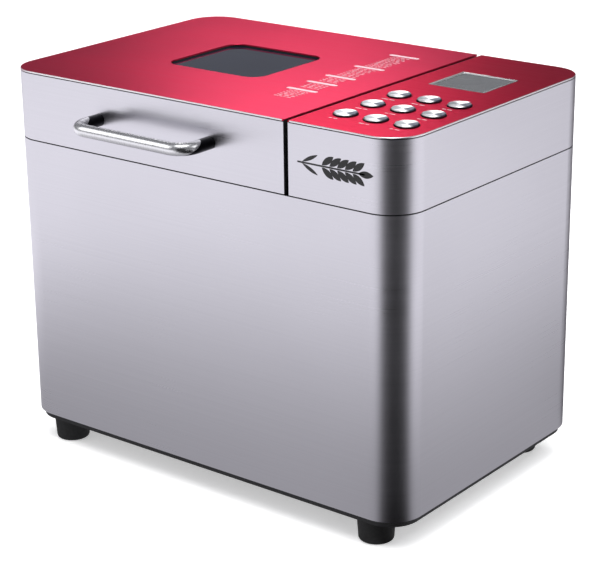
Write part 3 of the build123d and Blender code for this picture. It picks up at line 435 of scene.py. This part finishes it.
def dress_nodes():
    """Gives every CAD node its slot's material."""
    made = {maker.__name__: maker().material for maker in MAKERS}
    for name, node in NODES.items():
        node.data.materials.clear()
        node.data.materials.append(made[SLOT_OF[name]])
    return made


# ---------------------------------------------------------------- scene helper
def add_object(name, data):
    """A new object in the scene."""
    thing = bpy.data.objects.new(name, data)
    bpy.context.scene.collection.objects.link(thing)
    return thing


# ---------------------------------------------------------------- printed marks
def mesh_piece(name, outlines, place, material, body):
    """One thin piece from flat outlines, placed by a matrix whose Z is the surface's normal."""
    vertices, faces = [], []
    for outline in outlines:
        first, count = len(vertices), len(outline)
        vertices += [place @ Vector((x, y, INK)) for x, y in outline]
        vertices += [place @ Vector((x, y, -INK / 2)) for x, y in outline]
        faces.append(range(first, first + count))
        for k in range(count):
            after = (k + 1) % count
            faces.append((first + after, first + k, first + count + k, first + count + after))
    mesh = bpy.data.meshes.new(name)
    mesh.from_pydata(vertices, [], [tuple(face) for face in faces])
    mesh.materials.append(material)
    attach(add_object(name, mesh), body)


def pill(x, y, length, height, steps=5):
    """Outline of a dash with round ends, centred on x, y."""
    r = height / 2
    points = []
    for side in (1, -1):
        for k in range(steps + 1):
            angle = math.pi * (k / steps - 0.5) + (0 if side == 1 else math.pi)
            points.append((x + side * (length / 2 - r) + r * math.cos(angle), y + r * math.sin(angle)))
    return points


def dashes(rng, x0, x1, y, height):
    """A row of dashes of uneven length that stands for a line of small print."""
    row, x = [], x0
    while x < x1 - 2.0 * height:
        length = min(rng.uniform(2.2, 5.5) * height, x1 - x)
        row.append(pill(x + length / 2, y, length, height))
        x += length + height
    return row


def programme_list(white):
    """Five headed columns of small print beside the window."""
    rng = random.Random(11)
    lo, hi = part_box("lid_top_plate")
    place = Matrix.Translation((hi.x, (lo.y + hi.y) / 2, hi.z))
    marks = []
    for y, rows in LIST_HEADS:
        marks.append(pill((LIST_LEFT + LIST_RIGHT) / 2, y, LIST_RIGHT - LIST_LEFT, HEAD_HEIGHT))
        for k in range(rows):
            row_y = y - ROW_DROP - ROW_PITCH * k
            marks += dashes(rng, LIST_LEFT + 0.006, LIST_RIGHT - 0.004, row_y, ROW_HEIGHT)
    mesh_piece("programme_list", marks, place, white, "lid")


def key_labels(white):
    """A short dash of print in front of every button."""
    rng = random.Random(4)
    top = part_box("control_top_plate")[1].z
    marks = []
    for name in sorted(n for n in NODES if n.startswith("button_")):
        lo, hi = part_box(name)
        x, y = (lo.x + hi.x) / 2, (lo.y + hi.y) / 2 - LABEL_DROP
        half = rng.uniform(0.0038, 0.0055)
        marks += dashes(rng, x - half, x + half, y, LABEL_HEIGHT)
    mesh_piece("key_labels", marks, Matrix.Translation((0, 0, top)), white, "base")


def grain_outline(x, y, angle, length, width, steps=9):
    """Outline of one pointed grain that starts at x, y and leans by angle."""
    points = []
    for side in (1, -1):
        for k in range(steps):
            t = k / steps if side == 1 else 1 - k / steps
            along, across = length * t, side * width / 2 * math.sin(math.pi * t) ** 0.8
            points.append((x + along * math.cos(angle) - across * math.sin(angle),
                           y + along * math.sin(angle) + across * math.cos(angle)))
    return points[::-1]


def wheat_emblem(black):
    """A plain ear of wheat lying on the control housing's front."""
    lo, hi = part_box("control_skirt")
    centre = Vector(((lo.x + hi.x) / 2 - EMBLEM_SHIFT, lo.y, (lo.z + hi.z) / 2))
    place = Matrix.Translation(centre) @ Matrix.Rotation(math.pi / 2, 4, "X") @ Matrix.Scale(EMBLEM_SCALE, 4)
    marks = [pill(0.0, 0.0, 0.046, 0.0010)]
    for k in range(5):
        x = -0.006 + 0.0052 * k
        for side in (1, -1):
            marks.append(grain_outline(x, side * 0.0007, side * 0.62, 0.0098, 0.0038))
    marks.append(grain_outline(0.0185, 0.0, 0.0, 0.0100, 0.0040))
    for side in (1, -1):
        marks.append(grain_outline(-0.0195, side * 0.0005, side * 0.45, 0.0120, 0.0022))
    mesh_piece("wheat_emblem", marks, place, black, "base")


def display_frame(material):
    """Narrow bright rim round the display."""
    lo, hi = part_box("lcd_window")
    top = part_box("control_top_plate")[1].z
    cx, cy = (lo.x + hi.x) / 2, (lo.y + hi.y) / 2
    half_w, half_d = (hi.x - lo.x) / 2 + 0.0001, (hi.y - lo.y) / 2 + 0.0001
    rings = ((half_w - 0.0009, half_d - 0.0009, -0.0004), (half_w - 0.0005, half_d - 0.0005, 0.00015),
             (half_w + 0.0007, half_d + 0.0007, 0.00025), (half_w + 0.0010, half_d + 0.0010, 0.00002))
    corner, steps = 0.0012, 4
    vertices, faces = [], []
    for w, d, z in rings:
        for sx, sy, start in ((1, 1, 0), (-1, 1, 90), (-1, -1, 180), (1, -1, 270)):
            for k in range(steps + 1):
                a = math.radians(start + 90 * k / steps)
                vertices.append((cx + sx * (w - corner) + corner * math.cos(a),
                                 cy + sy * (d - corner) + corner * math.sin(a), top + z))
    count = 4 * (steps + 1)
    for ring in range(len(rings) - 1):
        for k in range(count):
            after = (k + 1) % count
            a, b = ring * count, (ring + 1) * count
            faces.append((a + k, b + k, b + after, a + after))
    mesh = bpy.data.meshes.new("display_frame")
    mesh.from_pydata(vertices, [], faces)
    mesh.materials.append(material)
    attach(add_object("display_frame", mesh), "base")


# ---------------------------------------------------------------- stage
def softbox(name, target, azimuth, elevation, distance, width, height, watts):
    """Area light aimed at target from a direction; azimuth 0 is straight in front."""
    a, e = math.radians(azimuth), math.radians(elevation)
    away = Vector((math.sin(a) * math.cos(e), -math.cos(a) * math.cos(e), math.sin(e)))
    data = bpy.data.lights.new(name, "AREA")
    data.shape, data.size, data.size_y, data.energy = "RECTANGLE", width, height, watts
    light = add_object(name, data)
    light.location = target + away * distance
    light.rotation_euler = (-away).to_track_quat("-Z", "Y").to_euler()
    return light


def face_mesh(name, corners):
    """A mesh with one four-sided face."""
    mesh = bpy.data.meshes.new(name)
    mesh.from_pydata(corners, [], [(0, 1, 2, 3)])
    return mesh


def level_square(name, half, height):
    """A level square round the origin."""
    return face_mesh(name, [(half * x, half * y, height) for x, y in ((-1, -1), (1, -1), (1, 1), (-1, 1))])


def make_floor():
    """Wide pale floor, lit softly from below like a light table."""
    mesh = level_square("floor", FLOOR_SIZE, 0.0)
    s = Shader("floor_paper", Roughness=0.6, Emission_Color=(1.0, 1.0, 1.0), Emission_Strength=FLOOR_GLOW)
    cloud = s.noise(s.scaled(1, 1, 1), scale=3.0)
    s.feed("Base Color", s.mix(s.spread(cloud, 0.0, 1.0), (0.90, 0.90, 0.90), (0.93, 0.93, 0.93)))
    mesh.materials.append(s.material)
    add_object("floor", mesh)


def make_world(strength):
    """Even pale surroundings."""
    world = bpy.data.worlds.new("studio")
    world.use_nodes = True
    world.node_tree.nodes["Background"].inputs[0].default_value = (0.93, 0.94, 1.0, 1.0)
    world.node_tree.nodes["Background"].inputs[1].default_value = strength
    bpy.context.scene.world = world


def make_camera():
    """Camera a little above the front right corner."""
    yaw, pitch, roll = CAMERA_YAW, CAMERA_PITCH, CAMERA_ROLL
    body_lo, body_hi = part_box("body_wrap")
    base = Vector(((body_lo.x + body_hi.x) / 2, (body_lo.y + body_hi.y) / 2, body_lo.z))
    forward = Vector((-math.sin(yaw) * math.cos(pitch), math.cos(yaw) * math.cos(pitch), -math.sin(pitch)))
    level = Vector((math.cos(yaw), math.sin(yaw), 0))
    upright = level.cross(forward)
    right = math.cos(roll) * level + math.sin(roll) * upright
    up = right.cross(forward)
    data = bpy.data.cameras.new("camera")
    data.lens, data.sensor_width = CAMERA_LENS, CAMERA_SENSOR
    data.clip_start, data.clip_end = 0.05, 60.0
    camera = add_object("camera", data)
    axes = Matrix((right, up, -forward)).transposed().to_4x4()
    camera.matrix_world = Matrix.Translation(base + Vector(CAMERA_PLACE)) @ axes
    bpy.context.scene.camera = camera


def reflections_only(thing):
    """Makes a stage object that only glossy surfaces see."""
    thing.visible_camera = False
    thing.visible_diffuse = False
    thing.visible_shadow = False
    thing.visible_transmission = False


def wedge_share(s, from_corner, azimuth, inner, outer):
    """Share of the glow left by a dim wedge that opens from a corner towards an azimuth."""
    a = math.radians(azimuth)
    across = s.node("ShaderNodeVectorMath", {0: from_corner, 1: (math.cos(a), math.sin(a), 0.0)},
                    operation="DOT_PRODUCT").outputs["Value"]
    along = s.node("ShaderNodeVectorMath", {0: from_corner, 1: (math.sin(a), -math.cos(a), 0.0)},
                   operation="DOT_PRODUCT").outputs["Value"]
    slope = s.math("DIVIDE", s.math("ABSOLUTE", across), s.math("MAXIMUM", along, 0.001))
    return s.node("ShaderNodeMapRange", {"Value": slope, "From Min": inner, "From Max": outer,
                                         "To Min": WEDGE_GLOW, "To Max": 1.0},
                  interpolation_type="SMOOTHSTEP").outputs[0]


def reflection_card():
    """A card on the floor that only reflections see: brighter away from the casing, with dim wedges."""
    lo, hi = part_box("body_wrap")
    mesh = level_square("reflection_card", CARD_SIZE, CARD_HEIGHT)
    s = Shader("card_glow", Base_Color=(0.0, 0.0, 0.0), Roughness=1.0, Specular_IOR_Level=0.0,
               Emission_Color=(0.96, 0.95, 1.0))
    middle = ((lo.x + hi.x) / 2, (lo.y + hi.y) / 2, 0.0)
    half = ((hi.x - lo.x) / 2, (hi.y - lo.y) / 2)
    centred = s.node("ShaderNodeVectorMath", {0: s.coords.outputs["Object"], 1: middle},
                     operation="SUBTRACT").outputs[0]
    glow = s.node("ShaderNodeMapRange", {"Value": s.beyond(lo, hi, CARD_STRETCH), "From Min": 0.0,
                                         "From Max": CARD_REACH, "To Min": CARD_NEAR, "To Max": CARD_FAR},
                  interpolation_type="SMOOTHSTEP").outputs[0]
    for side_x, side_y, azimuth, inner, outer in WEDGES:
        corner = (side_x * (half[0] - WEDGE_INSET), side_y * (half[1] - WEDGE_INSET), 0.0)
        from_corner = s.node("ShaderNodeVectorMath", {0: centred, 1: corner}, operation="SUBTRACT").outputs[0]
        glow = s.math("MULTIPLY", glow, wedge_share(s, from_corner, azimuth, inner, outer))
    s.feed("Emission Strength", glow)
    mesh.materials.append(s.material)
    reflections_only(add_object("reflection_card", mesh))


def dark_screen(azimuth, distance, width, height):
    """Upright black screen that the casing's corner and the handle's bend reflect."""
    a = math.radians(azimuth)
    middle = Vector((math.sin(a), -math.cos(a), 0)) * distance
    side = Vector((math.cos(a), math.sin(a), 0)) * (width / 2)
    rise = Vector((0, 0, height))
    corners = [middle - side, middle + side, middle + side + rise, middle - side + rise]
    mesh = face_mesh("dark_screen", corners)
    s = Shader("black_cloth", Specular_IOR_Level=0.1)
    weave = s.noise(s.scaled(1, 1, 1), scale=300.0)
    s.feed("Base Color", s.mix(s.spread(weave, 0.0, 1.0), (0.004, 0.004, 0.004), (0.010, 0.010, 0.010)))
    s.feed("Roughness", s.spread(weave, 0.8, 0.95))
    mesh.materials.append(s.material)
    reflections_only(add_object("dark_screen", mesh))


def make_lights():
    """Soft boxes in front, to the right, behind the lid, high up for the bevels, and over the floor."""
    target = Vector((0, 0, 0.16))
    softbox("front_box", target, -42, 34, 2.0, 1.6, 1.2, 9)
    softbox("side_box", target, 120, 30, 2.0, 1.6, 1.2, 9)
    softbox("lid_box", Vector((-0.05, 0.02, 0.289)), 216, 33, 1.15, 0.34, 0.34, 2.5)
    softbox("edge_box", Vector((0.0, 0.0, 0.289)), 38, 70, 1.6, 0.9, 0.9, 10)
    top_box = softbox("top_box", Vector((0, 0.6, 0)), 0, 89.9, 2.6, 4.5, 4.5, 108)
    top_box.visible_glossy = False


materials = dress_nodes()
white_ink = ink("white_ink", (0.60, 0.40, 0.44)).material
black_ink = ink("black_ink", (0.012, 0.012, 0.013)).material
programme_list(white_ink)
key_labels(white_ink)
wheat_emblem(black_ink)
display_frame(materials["plain_steel"])
make_floor()
make_world(0.24)
reflection_card()
dark_screen(38.0, 2.6, 2.0, 1.6)
make_lights()
make_camera()
bpy.context.scene.view_settings.view_transform = "Standard"
